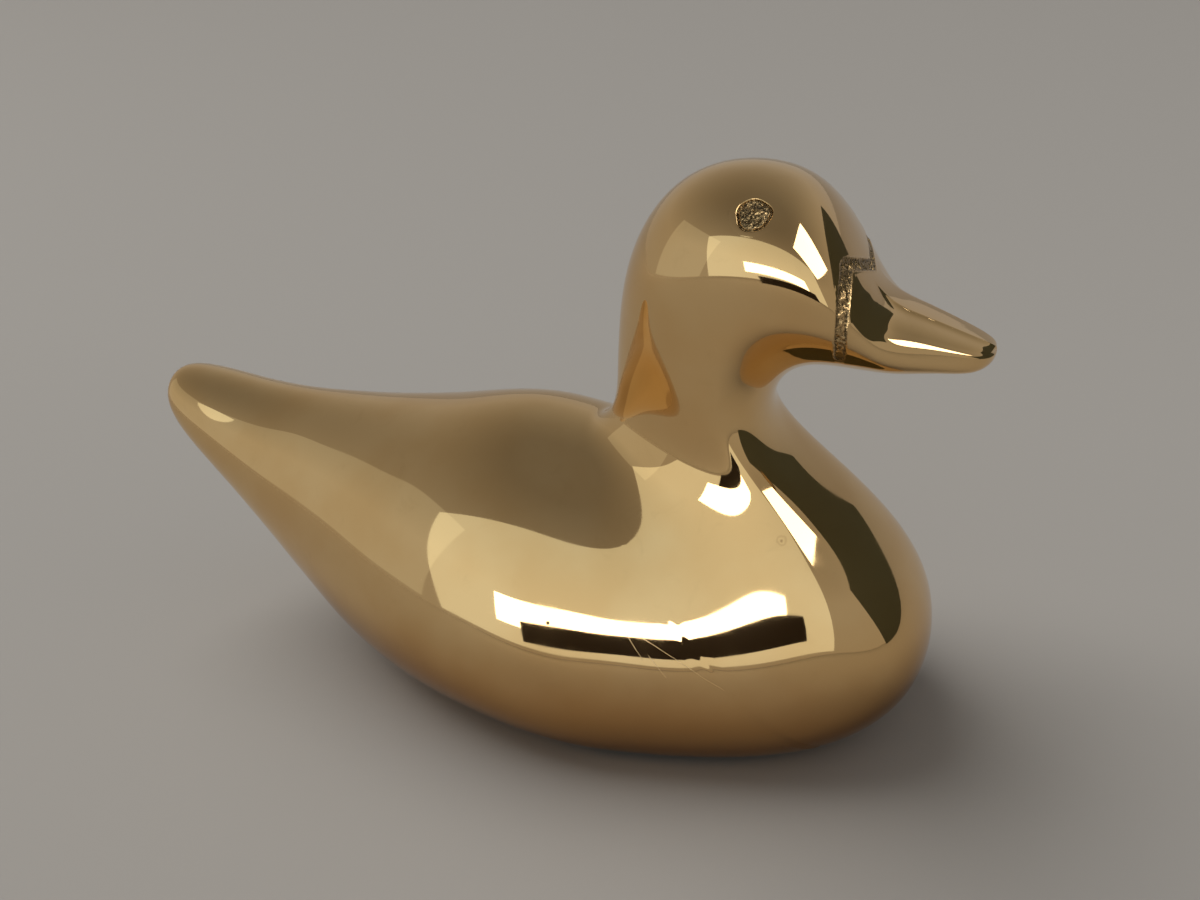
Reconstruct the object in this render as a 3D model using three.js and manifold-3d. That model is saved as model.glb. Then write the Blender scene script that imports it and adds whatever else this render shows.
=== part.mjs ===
// A polished brass duck paperweight: a hollow body casting, a head casting let into its neck,
// two punched eye studs, and a weighted, felted base.
// Millimetres, +Z up, bill towards +X, standing on z = 0.

import * as THREE from 'three';
import { mergeVertices } from 'three/addons/utils/BufferGeometryUtils.js';
import Module from 'manifold-3d';

// Outer form, as sections from the tail to the bill. Each section stands square to the duck's
// middle plane, from a point of the back line [x, z] to a point of the belly line [x, z].
// sagRatio lowers the widest point, and power flattens the section's sides (2 is an ellipse).
const SECTIONS = {
  tailTip: { back: [-69.5, 44], belly: [-69.5, 44], halfWidth: 0, sagRatio: 0, power: 2 },
  tail: { back: [-68.5, 46.5], belly: [-69, 37.5], halfWidth: 5.5, sagRatio: 0, power: 2 },
  tailRoot: { back: [-55, 45], belly: [-58, 25], halfWidth: 10, sagRatio: 0.05, power: 2 },
  rump: { back: [-37.5, 43.5], belly: [-36, 6.5], halfWidth: 17, sagRatio: 0.12, power: 2 },
  rearBody: { back: [-14.5, 44.5], belly: [-10.5, -2.5], halfWidth: 27, sagRatio: 0.2, power: 2 },
  midBody: { back: [1.5, 46], belly: [14.5, -2.5], halfWidth: 30.5, sagRatio: 0.36, power: 2 },
  foreBody: { back: [8.5, 45], belly: [28, -4], halfWidth: 29, sagRatio: 0.3, power: 2 },
  lowBreast: { back: [12, 44.5], belly: [52.5, 0.5], halfWidth: 25, sagRatio: 0.29, power: 2 },
  breast: { back: [14.5, 46], belly: [63.5, 16.5], halfWidth: 19, sagRatio: 0.32, power: 2 },
  highBreast: { back: [16, 49.5], belly: [55, 30.5], halfWidth: 14.5, sagRatio: 0.3, power: 2 },
  neck: { back: [17, 60], belly: [40.5, 44.5], halfWidth: 12.5, sagRatio: 0.33, power: 2 },
  jaw: { back: [20, 71.5], belly: [40, 52], halfWidth: 14, sagRatio: 0.1, power: 2 },
  crown: { back: [30.5, 81.5], belly: [45.5, 56], halfWidth: 16, sagRatio: 0, power: 2 },
  forehead: { back: [42.5, 80.5], belly: [50.5, 56], halfWidth: 16, sagRatio: 0, power: 2 },
  billRoot: { back: [52.5, 67.5], belly: [55.5, 56], halfWidth: 12, sagRatio: 0, power: 2.2 },
  bill: { back: [58.5, 63.5], belly: [60.5, 56.5], halfWidth: 9, sagRatio: 0, power: 2.8 },
  billEnd: { back: [65.5, 60.5], belly: [65, 56.5], halfWidth: 5.5, sagRatio: 0, power: 3 },
  billTip: { back: [67.5, 58.5], belly: [67.5, 58.5], halfWidth: 0, sagRatio: 0, power: 3 },
};
const END_BLUNTNESS = 1.15;

// Casting walls
const BODY_WALL = 3;
const HEAD_WALL = 3;

// Neck joint: a hollow upright spigot under the head, brazed into a socket in the body
const NECK_WALL = 3;
const NECK_CLEARANCE = 0.3;
const NECK_SEAM = 0.3;
const SPIGOT_LENGTH = 12;
const SPIGOT_WALL = 2.4;
const SPIGOT_FLOOR = 3;

// Eyes: rivet-like studs, placed along the head from the crown section to the forehead section
// and down from the crown line
const EYE_ALONG = 0.5;
const EYE_DOWN_DEGREES = 50;
const EYE_DIAMETER = 4.2;
const EYE_DOME = 0.4;
const EYE_EDGE = 0.7;
const EYE_SEAT_DEPTH = 0.8;
const EYE_SHANK_DIAMETER = 2.4;
const EYE_SHANK_LENGTH = 3;
const EYE_CLEARANCE = 0.3;

// Underside: felt glued over a plate that is let into a rebate in the body's rim
const FELT_THICKNESS = 1.5;
const FELT_MARGIN = 1.5;
const RIM_WIDTH = 2;
const LEDGE_WIDTH = 2.5;
const LEDGE_THICKNESS = 2.5;
const PLATE_THICKNESS = 2;
const PLATE_CLEARANCE = 0.3;

// Bosses for the plate's screws, at the front and rear of the opening
const BOSS_DIAMETER = 9;
const BOSS_CAP = 1.7;
const BOSS_INSET = 3;

// Countersunk slotted screws
const SCREW_DIAMETER = 3;
const SCREW_LENGTH = 9;
const SCREW_HEAD_DIAMETER = 5.6;
const SCREW_HEAD_RECESS = 0.2;
const SCREW_SLOT_WIDTH = 0.8;
const SCREW_SLOT_DEPTH = 0.7;
const SCREW_CLEARANCE = 0.3;

// Ballast: an iron block that goes in through the opening and stands on the plate
const BALLAST_HEIGHT = 14;
const BALLAST_CLEARANCE = 0.8;

// Facets, and the small numbers behind the construction
const STEPS_PER_SECTION = 3;
const SIDES = 32;
const INNER_STEPS_PER_SECTION = 2;
const INNER_SIDES = 24;
const OUTLINE_POINTS = 20;
const ROUND_SIDES = 20;
const DOME_STEPS = 3;
const LEAST_RUN = 1;
const OVERCUT = 1;
const NORMAL_REACH = 0.01;

const wasm = await Module();
wasm.setup();

// Outer form

const sections = Object.values(SECTIONS);
const sectionNumber = (name) => Object.keys(SECTIONS).indexOf(name);

function runBetween(a, b) {
  return Math.hypot(b[0] - a[0], b[1] - a[1]);
}

// Places of the sections along the form: each step joins the mean run of the two lines, the change
// of width, and a least run for lines that stand still.
const knots = [0];
for (let i = 1; i < sections.length; i += 1) {
  const backRun = runBetween(sections[i - 1].back, sections[i].back);
  const bellyRun = runBetween(sections[i - 1].belly, sections[i].belly);
  const widthRun = 2 * (sections[i].halfWidth - sections[i - 1].halfWidth);
  knots.push(knots[i - 1] + Math.hypot(Math.sqrt(backRun * bellyRun), widthRun, LEAST_RUN));
}
const placeOf = (name) => knots[sectionNumber(name)];

// Smooth cubic through one value per section. Its slope at the two tips is the bluntness times the
// mean slope of the section next to the tip.
function smoothThrough(values, bluntness) {
  const last = values.length - 1;
  const step = (i) => knots[i + 1] - knots[i];
  const rise = (i) => (values[i + 1] - values[i]) / step(i);
  const diagonal = [2 * step(0)];
  const right = [6 * rise(0) * (1 - bluntness)];
  for (let i = 1; i < last; i += 1) {
    const share = step(i - 1) / diagonal[i - 1];
    diagonal.push(2 * (step(i - 1) + step(i)) - share * step(i - 1));
    right.push(6 * (rise(i) - rise(i - 1)) - share * right[i - 1]);
  }
  const tipShare = step(last - 1) / diagonal[last - 1];
  const tipRight = 6 * rise(last - 1) * (bluntness - 1) - tipShare * right[last - 1];
  const bend = new Array(last + 1).fill(0);
  bend[last] = tipRight / (step(last - 1) * (2 - tipShare));
  for (let i = last - 1; i >= 0; i -= 1) {
    bend[i] = (right[i] - step(i) * bend[i + 1]) / diagonal[i];
  }
  return (place) => {
    let i = 0;
    while (i < last - 1 && place > knots[i + 1]) i += 1;
    const h = step(i);
    const a = (knots[i + 1] - place) / h;
    const b = (place - knots[i]) / h;
    const curve = ((a ** 3 - a) * bend[i] + (b ** 3 - b) * bend[i + 1]) * h * h / 6;
    return a * values[i] + b * values[i + 1] + curve;
  };
}

// The lines leave both tips square to the form, so that the tips are round.
const backX = smoothThrough(sections.map((s) => s.back[0]), 0);
const backZ = smoothThrough(sections.map((s) => s.back[1]), END_BLUNTNESS);
const bellyX = smoothThrough(sections.map((s) => s.belly[0]), 0);
const bellyZ = smoothThrough(sections.map((s) => s.belly[1]), END_BLUNTNESS);
const halfWidth = smoothThrough(sections.map((s) => s.halfWidth), END_BLUNTNESS);
const sagRatio = smoothThrough(sections.map((s) => s.sagRatio), 0);
const power = smoothThrough(sections.map((s) => s.power), 0);

function signedPower(value, exponent) {
  return Math.sign(value) * Math.abs(value) ** exponent;
}

// Point of the outer form: angle 0 is on the back line, a half turn on the belly line.
function outerPoint(place, angle) {
  const up = signedPower(Math.cos(angle), 2 / power(place));
  const side = signedPower(Math.sin(angle), 2 / power(place));
  const along = (up - sagRatio(place) * side * side + 1) / 2;
  return new THREE.Vector3(
    THREE.MathUtils.lerp(bellyX(place), backX(place), along),
    -halfWidth(place) * side,
    THREE.MathUtils.lerp(bellyZ(place), backZ(place), along),
  );
}

function outerNormal(place, angle) {
  const lengthways = outerPoint(place + NORMAL_REACH, angle).sub(outerPoint(place - NORMAL_REACH, angle));
  const around = outerPoint(place, angle + NORMAL_REACH).sub(outerPoint(place, angle - NORMAL_REACH));
  return around.cross(lengthways).normalize();
}

function ringOf(sides, pointAt) {
  return Array.from({ length: sides }, (_, j) => pointAt(2 * Math.PI * j / sides));
}

const tailPoint = outerPoint(0, 0);
const billPoint = outerPoint(knots.at(-1), 0);

// Closed skin over a row of rings, with a point at each end.
function closedTube(rings, startPoint, endPoint) {
  const sides = rings[0].length;
  const points = [startPoint, ...rings.flat(), endPoint];
  const end = points.length - 1;
  const at = (i, j) => 1 + i * sides + j % sides;
  const faces = [];
  for (let j = 0; j < sides; j += 1) {
    faces.push(0, at(0, j + 1), at(0, j));
    for (let i = 1; i < rings.length; i += 1) {
      faces.push(at(i - 1, j), at(i - 1, j + 1), at(i, j));
      faces.push(at(i - 1, j + 1), at(i, j + 1), at(i, j));
    }
    faces.push(at(rings.length - 1, j), at(rings.length - 1, j + 1), end);
  }
  const geometry = new THREE.BufferGeometry().setFromPoints(points);
  geometry.setIndex(faces);
  return geometry;
}

// The rings stand closer together towards the two tips.
function outerForm() {
  const last = sections.length - 2;
  const rings = [];
  for (let i = 0; i <= last; i += 1) {
    for (let k = 1; k <= STEPS_PER_SECTION; k += 1) {
      const part = k / STEPS_PER_SECTION;
      let share = part;
      if (i === 0) share = part ** 2;
      if (i === last) share = 1 - (1 - part) ** 2;
      const place = THREE.MathUtils.lerp(knots[i], knots[i + 1], share);
      rings.push(ringOf(SIDES, (angle) => outerPoint(place, angle)));
    }
  }
  rings.pop();
  return closedTube(rings, tailPoint, billPoint);
}

function middleOf(ring) {
  const sum = new THREE.Vector3();
  ring.forEach((point) => sum.add(point));
  return sum.divideScalar(ring.length);
}

// Hollow of a casting: the outer form between two sections, moved in by the wall.
function innerForm(fromName, toName, wall) {
  const innerPoint = (place, angle) => {
    return outerPoint(place, angle).addScaledVector(outerNormal(place, angle), -wall);
  };
  const rings = [];
  for (let i = sectionNumber(fromName); i < sectionNumber(toName); i += 1) {
    for (let k = 0; k < INNER_STEPS_PER_SECTION; k += 1) {
      const place = THREE.MathUtils.lerp(knots[i], knots[i + 1], k / INNER_STEPS_PER_SECTION);
      rings.push(ringOf(INNER_SIDES, (angle) => innerPoint(place, angle)));
    }
  }
  rings.push(ringOf(INNER_SIDES, (angle) => innerPoint(placeOf(toName), angle)));
  return closedTube(rings, middleOf(rings[0]), middleOf(rings.at(-1)));
}

// Solids

function toSolid(geometry) {
  const bare = geometry.clone();
  bare.deleteAttribute('normal');
  bare.deleteAttribute('uv');
  const merged = mergeVertices(bare);
  return new wasm.Manifold(new wasm.Mesh({
    numProp: 3,
    vertProperties: new Float32Array(merged.attributes.position.array),
    triVerts: new Uint32Array(merged.index.array),
  }));
}

function toGeometry(solid) {
  const mesh = solid.getMesh();
  const geometry = new THREE.BufferGeometry();
  geometry.setAttribute('position', new THREE.BufferAttribute(mesh.vertProperties, 3));
  geometry.setIndex(new THREE.BufferAttribute(mesh.triVerts, 1));
  geometry.computeVertexNormals();
  return geometry;
}

const UP = new THREE.Vector3(0, 0, 1);
const DOWN = new THREE.Vector3(0, 0, -1);
const blockSize = 4 * tailPoint.distanceTo(billPoint);

// Everything on one side of a plane, as a block that covers the whole form.
function sideOf(point, normal) {
  const block = new THREE.BoxGeometry(blockSize, blockSize, blockSize).translate(0, 0, blockSize / 2);
  block.applyQuaternion(new THREE.Quaternion().setFromUnitVectors(UP, normal));
  return toSolid(block.translate(point.x, point.y, point.z));
}

// Turned piece: a half profile of [radius, height] points, set on a point along a direction.
function turned(profile, point, direction) {
  const outline = profile.map(([radius, height]) => new THREE.Vector2(radius, height));
  const geometry = new THREE.LatheGeometry(outline, ROUND_SIDES).rotateX(Math.PI / 2);
  geometry.applyQuaternion(new THREE.Quaternion().setFromUnitVectors(UP, direction));
  return toSolid(geometry.translate(point.x, point.y, point.z));
}

function rod(diameter, from, to, point, direction) {
  const radius = diameter / 2;
  return turned([[0, from], [radius, from], [radius, to], [0, to]], point, direction);
}

// Upright block over a plan outline.
function prism(outline, from, to) {
  const geometry = new THREE.ExtrudeGeometry(new THREE.Shape(outline), {
    depth: to - from,
    bevelEnabled: false,
  });
  return toSolid(geometry.translate(0, 0, from));
}

const outer = toSolid(outerForm());

// Underside outline

// Halves an interval until it closes on the place where the test turns true.
function crossing(from, to, isPast) {
  let low = from;
  let high = to;
  let middle = (low + high) / 2;
  while (middle !== low && middle !== high) {
    if (isPast(middle)) high = middle;
    else low = middle;
    middle = (low + high) / 2;
  }
  return low;
}

// Plan outline of the outer form at one height, drawn in by an inset.
function footprint(height, inset) {
  const lowest = placeOf('midBody');
  const rear = crossing(lowest, placeOf('tailRoot'), (place) => bellyZ(place) > height);
  const front = crossing(lowest, placeOf('highBreast'), (place) => bellyZ(place) > height);
  const edgeAt = (k) => {
    const share = (1 - Math.cos(Math.PI * k / OUTLINE_POINTS)) / 2;
    const place = THREE.MathUtils.lerp(rear, front, share);
    const angle = crossing(Math.PI / 2, Math.PI, (turn) => outerPoint(place, turn).z < height);
    return outerPoint(place, angle);
  };
  const outline = [];
  for (let k = 0; k < 2 * OUTLINE_POINTS; k += 1) {
    const isReturn = k > OUTLINE_POINTS;
    const isEnd = k % OUTLINE_POINTS === 0;
    const edge = edgeAt(isReturn ? 2 * OUTLINE_POINTS - k : k);
    const side = isReturn ? -1 : 1;
    outline.push(new THREE.Vector2(edge.x, isEnd ? 0 : edge.y * side));
  }
  return outline.map((point, k) => {
    const next = outline[(k + 1) % outline.length];
    const run = next.clone().sub(outline.at(k - 1)).normalize();
    return new THREE.Vector2(point.x - run.y * inset, point.y + run.x * inset);
  });
}

const rimZ = FELT_THICKNESS;
const ledgeZ = rimZ + PLATE_THICKNESS;
const openingInset = RIM_WIDTH + LEDGE_WIDTH;
const openingOutline = footprint(rimZ, openingInset);
const bossPlaces = [
  new THREE.Vector3(openingOutline[OUTLINE_POINTS].x - BOSS_INSET, 0, rimZ),
  new THREE.Vector3(openingOutline[0].x + BOSS_INSET, 0, rimZ),
];
const ballastScrewPlace = bossPlaces[0].clone().lerp(bossPlaces[1], 0.5);

// Screws, all driven upwards from the plate's underside

const screwCone = (SCREW_HEAD_DIAMETER - SCREW_DIAMETER) / 2;

function screw(place) {
  const radius = SCREW_DIAMETER / 2;
  const foot = SCREW_HEAD_RECESS;
  const profile = [
    [0, foot],
    [SCREW_HEAD_DIAMETER / 2, foot],
    [radius, foot + screwCone],
    [radius, SCREW_LENGTH],
    [0, SCREW_LENGTH],
  ];
  const slot = new THREE.BoxGeometry(2 * SCREW_HEAD_DIAMETER, SCREW_SLOT_WIDTH, 2 * SCREW_SLOT_DEPTH);
  slot.translate(place.x, place.y, place.z + foot);
  return turned(profile, place, UP).subtract(toSolid(slot));
}

// Room for a whole screw, cut from all that it passes through.
function screwHole(place) {
  const radius = SCREW_DIAMETER / 2 + SCREW_CLEARANCE;
  const headRadius = radius + screwCone;
  const end = SCREW_LENGTH + SCREW_CLEARANCE;
  const profile = [
    [0, -OVERCUT],
    [headRadius, -OVERCUT],
    [headRadius, SCREW_HEAD_RECESS],
    [radius, SCREW_HEAD_RECESS + screwCone],
    [radius, end],
    [0, end],
  ];
  return turned(profile, place, UP);
}

// Neck joint

const neckBack = outerPoint(placeOf('neck'), 0);
const neckFront = outerPoint(placeOf('neck'), Math.PI);
const neckMiddle = neckBack.clone().lerp(neckFront, 0.5);
const neckAcross = neckFront.clone().sub(neckBack);
const seamUp = new THREE.Vector3(-neckAcross.z, 0, neckAcross.x).normalize();
const seamDown = seamUp.clone().negate();
const socketDiameter = Math.min(2 * halfWidth(placeOf('neck')), neckAcross.x) - 2 * NECK_WALL;
const spigotDiameter = socketDiameter - 2 * NECK_CLEARANCE;

function aboveSeam(height) {
  return sideOf(neckMiddle.clone().addScaledVector(seamUp, height), seamUp);
}

function belowSeam(height) {
  return sideOf(neckMiddle.clone().addScaledVector(seamUp, height), seamDown);
}

// Castings

function bodyShell() {
  const socketFloor = new THREE.Vector3(0, 0, neckMiddle.z - SPIGOT_LENGTH);
  const ledgeTop = new THREE.Vector3(0, 0, ledgeZ + LEDGE_THICKNESS);
  const rim = new THREE.Vector3(0, 0, rimZ);
  const hollow = toSolid(innerForm('tailRoot', 'neck', BODY_WALL))
    .intersect(sideOf(ledgeTop, UP))
    .intersect(sideOf(socketFloor, DOWN));
  const socket = rod(socketDiameter, -SPIGOT_LENGTH - OVERCUT, neckAcross.length(), neckMiddle, UP);
  const opening = prism(openingOutline, rimZ - OVERCUT, ledgeTop.z + OVERCUT);
  const rebate = prism(footprint(rimZ, RIM_WIDTH), rimZ - OVERCUT, ledgeZ);
  const bossTop = SCREW_LENGTH + SCREW_CLEARANCE + BOSS_CAP;
  let shell = outer.intersect(belowSeam(0)).intersect(sideOf(rim, UP));
  shell = shell.subtract(hollow).subtract(socket).subtract(opening).subtract(rebate);
  for (const place of bossPlaces) {
    shell = shell.add(rod(BOSS_DIAMETER, PLATE_THICKNESS, bossTop, place, UP).intersect(outer));
    shell = shell.subtract(screwHole(place));
  }
  return shell;
}

function eyeFrame(side) {
  const place = THREE.MathUtils.lerp(placeOf('crown'), placeOf('forehead'), EYE_ALONG);
  const angle = side * THREE.MathUtils.degToRad(EYE_DOWN_DEGREES);
  return { point: outerPoint(place, angle), out: outerNormal(place, angle) };
}

const rightEye = eyeFrame(1);
const leftEye = eyeFrame(-1);

function eyeStud({ point, out }) {
  const radius = EYE_DIAMETER / 2;
  const shankRadius = EYE_SHANK_DIAMETER / 2;
  const back = EYE_CLEARANCE - EYE_SEAT_DEPTH;
  const profile = [
    [0, back - EYE_SHANK_LENGTH],
    [shankRadius, back - EYE_SHANK_LENGTH],
    [shankRadius, back],
    [radius, back],
  ];
  for (let k = 0; k < DOME_STEPS; k += 1) {
    const turn = Math.PI / 2 * k / DOME_STEPS;
    profile.push([radius * Math.cos(turn), back + EYE_EDGE + EYE_DOME * Math.sin(turn)]);
  }
  profile.push([0, back + EYE_EDGE + EYE_DOME]);
  return turned(profile, point, out);
}

function eyeSeat({ point, out }) {
  const shankEnd = -EYE_SEAT_DEPTH - EYE_SHANK_LENGTH - EYE_CLEARANCE;
  const seat = rod(EYE_DIAMETER + 2 * EYE_CLEARANCE, -EYE_SEAT_DEPTH, EYE_DIAMETER, point, out);
  return seat.add(rod(EYE_SHANK_DIAMETER + 2 * EYE_CLEARANCE, shankEnd, 0, point, out));
}

function headShell() {
  const floorTop = NECK_SEAM + SPIGOT_FLOOR;
  const hollow = toSolid(innerForm('neck', 'forehead', HEAD_WALL)).intersect(aboveSeam(floorTop));
  const spigotEnd = NECK_SEAM - SPIGOT_LENGTH;
  const spigot = rod(spigotDiameter, spigotEnd, neckAcross.length(), neckMiddle, UP)
    .intersect(belowSeam(floorTop));
  const boreDiameter = spigotDiameter - 2 * SPIGOT_WALL;
  const bore = rod(boreDiameter, spigotEnd - OVERCUT, neckAcross.length(), neckMiddle, UP)
    .intersect(belowSeam(floorTop + OVERCUT));
  return outer.intersect(aboveSeam(NECK_SEAM))
    .subtract(hollow)
    .add(spigot)
    .subtract(bore)
    .subtract(eyeSeat(rightEye))
    .subtract(eyeSeat(leftEye));
}

// Base

function basePlate() {
  return prism(footprint(rimZ, RIM_WIDTH + PLATE_CLEARANCE), rimZ, ledgeZ)
    .subtract(screwHole(bossPlaces[0]))
    .subtract(screwHole(bossPlaces[1]))
    .subtract(screwHole(ballastScrewPlace));
}

function ballast() {
  const outline = footprint(rimZ, openingInset + BALLAST_CLEARANCE);
  let block = prism(outline, ledgeZ, ledgeZ + BALLAST_HEIGHT);
  for (const place of bossPlaces) {
    const roomForBoss = rod(BOSS_DIAMETER + 2 * BALLAST_CLEARANCE, 0, 2 * BALLAST_HEIGHT, place, UP);
    block = block.subtract(roomForBoss);
  }
  return block.subtract(screwHole(ballastScrewPlace));
}

function feltPad() {
  return prism(footprint(rimZ, FELT_MARGIN), 0, FELT_THICKNESS);
}

// Assembly

const polishedBrass = { color: 0xc9a45a, roughness: 0.08, metalness: 1 };
const darkenedBrass = { color: 0x7d6234, roughness: 0.5, metalness: 1 };
const sheetBrass = { color: 0xb08d4a, roughness: 0.35, metalness: 1 };
const plainSteel = { color: 0x8d8f92, roughness: 0.4, metalness: 1 };
const castIron = { color: 0x3a3a3c, roughness: 0.8, metalness: 0.6 };
const greenFelt = { color: 0x23402f, roughness: 1, metalness: 0 };

function piece(name, solid, finish) {
  const mesh = new THREE.Mesh(toGeometry(solid), new THREE.MeshStandardMaterial(finish));
  mesh.name = name;
  return mesh;
}

const duck = new THREE.Group();
duck.add(
  piece('body_shell', bodyShell(), polishedBrass),
  piece('head_shell', headShell(), polishedBrass),
  piece('eye_right', eyeStud(rightEye), darkenedBrass),
  piece('eye_left', eyeStud(leftEye), darkenedBrass),
  piece('ballast', ballast(), castIron),
  piece('ballast_screw', screw(ballastScrewPlace), plainSteel),
  piece('base_plate', basePlate(), sheetBrass),
  piece('base_screw_front', screw(bossPlaces[0]), plainSteel),
  piece('base_screw_rear', screw(bossPlaces[1]), plainSteel),
  piece('felt_pad', feltPad(), greenFelt),
);

// The origin is under the middle of the duck's length.
const box = new THREE.Box3().setFromObject(duck);
duck.position.x = -(box.min.x + box.max.x) / 2;

export default duck;
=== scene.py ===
"""A polished brass duck paperweight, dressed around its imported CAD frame."""

import math

import bmesh
import bpy
import numpy as np
from mathutils import Matrix, Vector


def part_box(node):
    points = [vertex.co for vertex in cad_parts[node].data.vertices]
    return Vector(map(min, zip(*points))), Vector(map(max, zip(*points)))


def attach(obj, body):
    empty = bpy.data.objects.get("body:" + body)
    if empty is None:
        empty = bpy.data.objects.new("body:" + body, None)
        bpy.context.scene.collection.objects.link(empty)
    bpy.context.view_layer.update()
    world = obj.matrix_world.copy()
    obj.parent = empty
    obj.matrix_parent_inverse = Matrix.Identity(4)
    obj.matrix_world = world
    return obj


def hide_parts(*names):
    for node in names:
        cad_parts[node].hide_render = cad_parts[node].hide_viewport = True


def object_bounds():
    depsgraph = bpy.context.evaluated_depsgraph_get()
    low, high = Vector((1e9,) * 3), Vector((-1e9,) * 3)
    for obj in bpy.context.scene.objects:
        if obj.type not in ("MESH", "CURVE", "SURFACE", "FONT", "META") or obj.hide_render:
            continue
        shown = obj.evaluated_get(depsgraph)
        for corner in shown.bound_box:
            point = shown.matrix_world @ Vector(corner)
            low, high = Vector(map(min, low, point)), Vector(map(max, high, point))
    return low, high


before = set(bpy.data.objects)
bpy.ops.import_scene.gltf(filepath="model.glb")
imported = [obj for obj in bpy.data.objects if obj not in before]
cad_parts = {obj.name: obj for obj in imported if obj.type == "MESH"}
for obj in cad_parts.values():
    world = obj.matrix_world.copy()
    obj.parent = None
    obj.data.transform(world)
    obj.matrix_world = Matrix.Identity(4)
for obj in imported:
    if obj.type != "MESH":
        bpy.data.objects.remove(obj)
cad_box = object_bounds()

MM = 0.001

# Outer form in millimetres, the same sections as the CAD solids: name, back line (x, z),
# belly line (x, z), half width, sag ratio and power of the section's sides
SECTIONS = (
    ("tail_tip", (-69.5, 44), (-69.5, 44), 0, 0, 2),
    ("tail", (-68.5, 46.5), (-69, 37.5), 5.5, 0, 2),
    ("tail_root", (-55, 45), (-58, 25), 10, 0.05, 2),
    ("rump", (-37.5, 43.5), (-36, 6.5), 17, 0.12, 2),
    ("rear_body", (-14.5, 44.5), (-10.5, -2.5), 27, 0.2, 2),
    ("mid_body", (1.5, 46), (14.5, -2.5), 30.5, 0.36, 2),
    ("fore_body", (8.5, 45), (28, -4), 29, 0.3, 2),
    ("low_breast", (12, 44.5), (52.5, 0.5), 25, 0.29, 2),
    ("breast", (14.5, 46), (63.5, 16.5), 19, 0.32, 2),
    ("high_breast", (16, 49.5), (55, 30.5), 14.5, 0.3, 2),
    ("neck", (17, 60), (40.5, 44.5), 12.5, 0.33, 2),
    ("jaw", (20, 71.5), (40, 52), 14, 0.1, 2),
    ("crown", (30.5, 81.5), (45.5, 56), 16, 0, 2),
    ("forehead", (42.5, 80.5), (50.5, 56), 16, 0, 2),
    ("bill_root", (52.5, 67.5), (55.5, 56), 12, 0, 2.2),
    ("bill", (58.5, 63.5), (60.5, 56.5), 9, 0, 2.8),
    ("bill_end", (65.5, 60.5), (65, 56.5), 5.5, 0, 3),
    ("bill_tip", (67.5, 58.5), (67.5, 58.5), 0, 0, 3),
)
NAMES = [row[0] for row in SECTIONS]
END_BLUNTNESS = 1.15
LEAST_RUN = 1
RIM_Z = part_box("felt_pad")[1].z / MM
RIM_WIDTH = 2
PLATE_THICKNESS = 2

# Fineness of the skins
SIDES = 480
BODY_RING_STEP = 1.0
HEAD_RING_STEP = 0.6
EYE_RING_STEP = 0.3
FINE_RING_STEP = 0.23
NORMAL_REACH = 0.01
HALVINGS = 60
TINY = 1e-9

# Places on the form are given as a section, a share of the way to the next section, and degrees
# down from the top line. A place that holds all round has no degrees.

# Chased band round the bill's root: two straight legs on each side, struck from one direction
BAND_PATH = (("forehead", 0.87, 0), ("forehead", 0.53, 44), ("forehead", 0.06, 128))
BAND_START = ("forehead", -0.2)
BAND_END = ("bill_root", 0.2)
BAND_FINE_END = ("bill_root", 0.1)
BAND_FACING = (0.09, -0.97, 0.23)
BAND_HALF_WIDTH = 0.72
BAND_DEPTH = 0.1
BAND_WALL = 0.2
BAND_LIP = 0.02
BAND_LIP_OFFSET = 0.1
BAND_LIP_WIDTH = 0.14
BAND_EDGE = 0.16
BAND_REACH = 3
BAND_PATINA = 0.4
BAND_EDGE_PATINA = 0.95
BAND_SEED = 11
PUNCH_RADIUS = 0.2
PUNCH_SIZES = (0.6, 1.2)
PUNCH_SPREAD = 0.9
PUNCH_DEPTH = 0.14
PUNCH_FORCES = (0.3, 1)
PUNCH_PATINA = (0.6, 1)
PUNCHES_PER_MM = 11

# Ridge along the top of the bill, with a crease on each side
CREASE_PATH = (("bill_root", 0.32, 14), ("bill", 0.24, 12.5), ("bill_end", 0.15, 12.5))
CREASE_START = ("forehead", 0.9)
CREASE_FULL = ("bill_root", 0.5)
CREASE_SIDES = (55, 85)
CREASE_DROP = 0.38
CREASE_REACH = 0.6

# Eyes: a stippled stud in a shallow seat, with one bright spot of thinned patina that is a painted
# highlight
EYE_PLACE = ("crown", 0.5, 50)
EYE_RADIUS = 1.95
EYE_HEIGHT_RATIO = 1.1
EYE_EDGE_WAVES = ((0.06, 3, 1), (0.05, 5, 0))
EYE_STUD_EDGE = 0.3
EYE_SEAT_RADIUS = 2.6
EYE_SEAT_WALL = 0.4
EYE_PATCH_RADIUS = 3.4
EYE_THICKNESS = 0.6
EYE_PROUD = 0.006
EYE_DOME = 0.28
EYE_GROOVE = 0.3
EYE_GROOVE_WIDTH = 0.15
EYE_DISH = 0.75
EYE_PATINA = 0.85
EYE_GLINT_PLACE = (0.55, 0.05)
EYE_GLINT_RADIUS = 0.45
EYE_GLINT_SHARE = 0.7
EYE_PUNCHES = 110
EYE_PUNCHED_AREA = 0.85
EYE_PUNCH_RADII = (0.12, 0.24)
EYE_PUNCH_DEPTHS = (0.04, 0.15)
EYE_PUNCH_PATINA = (0.3, 1)
EYE_SEED = 21
EYE_RINGS = 64
EYE_SIDES = 144
EYE_SPREAD = 4
EYE_SAMPLES = 60
EYE_FIT_ORDER = 6

# Slow unevenness left by hand polishing
WAVE_HEIGHT = 0.012
WAVE_LENGTH = 11
WAVE_LENGTH_SHARES = (0.7, 1.5)
WAVES = 7
WAVE_SEED = 3
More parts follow.
